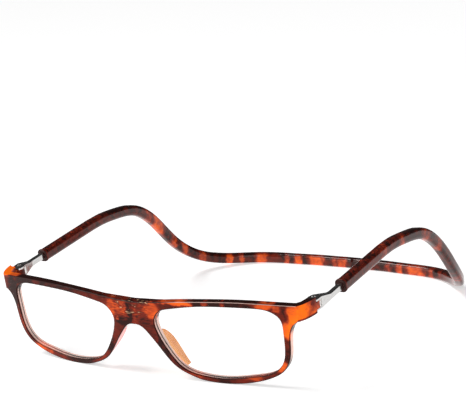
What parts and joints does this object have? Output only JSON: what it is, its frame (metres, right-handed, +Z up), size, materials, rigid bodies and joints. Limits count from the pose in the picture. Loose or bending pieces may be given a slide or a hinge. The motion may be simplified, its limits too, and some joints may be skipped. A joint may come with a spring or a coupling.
{
  "type": "magnetic bridge reading glasses",
  "caption": "Reading glasses that part at a magnetic bridge, with hinged half fronts on arms that draw out of a one-piece neck band.",
  "frame": {"origin": "centre of the bounding box at the table, with the glasses closed and lying on the rims and the back of the band", "axes": "+X to the side of the right arm seen from ahead, -Y the way the front faces, +Y towards the back of the neck, +Z up from the table"},
  "size_m": [0.148, 0.1775, 0.0426],
  "materials": {
    "band_plastic": "dark mottled flexible plastic, glossy",
    "front_plastic": "mottled amber and dark brown, glossy",
    "lens": "clear, polished",
    "nose_pad": "translucent amber",
    "magnet": "nickel plated",
    "bush": "plain turned",
    "screw": "polished",
    "hinge_metal": "polished",
    "spring": "spring steel",
    "guide": "plain moulded",
    "collar": "glossy"
  },
  "bodies": {
    "band": {"headband": "band_plastic", "left_guide_sleeve": "guide", "left_end_collar": "collar", "right_guide_sleeve": "guide", "right_end_collar": "collar"},
    "left_arm": {"left_hinge_arm": "hinge_metal", "left_hinge_screw": "screw", "left_detent_spring": "spring"},
    "left_front": {"left_rim": "front_plastic", "left_lens": "lens", "left_nose_pad": "nose_pad", "left_magnet": "magnet", "left_hinge_bush": "bush"},
    "right_arm": {"right_hinge_arm": "hinge_metal", "right_hinge_screw": "screw", "right_detent_spring": "spring"},
    "right_front": {"right_rim": "front_plastic", "right_lens": "lens", "right_nose_pad": "nose_pad", "right_magnet": "magnet", "right_hinge_bush": "bush"}
  },
  "joints": [
    {"name": "left_draw", "type": "slide", "parent": "band", "child": "left_arm", "axis": [0, -0.9863, -0.165], "range_m": [0, 0.0192]},
    {"name": "left_hinge", "type": "hinge", "parent": "left_arm", "child": "left_front", "pos_m": [-0.0691, -0.0701, 0.03118], "axis": [0, 0.165, -0.9863], "range_deg": [0, 60]},
    {"name": "right_draw", "type": "slide", "parent": "band", "child": "right_arm", "axis": [0, -0.9863, -0.165], "range_m": [0, 0.0192]},
    {"name": "right_hinge", "type": "hinge", "parent": "right_arm", "child": "right_front", "pos_m": [0.0691, -0.0701, 0.03118], "axis": [0, -0.165, 0.9863], "range_deg": [0, 60]}
  ]
}
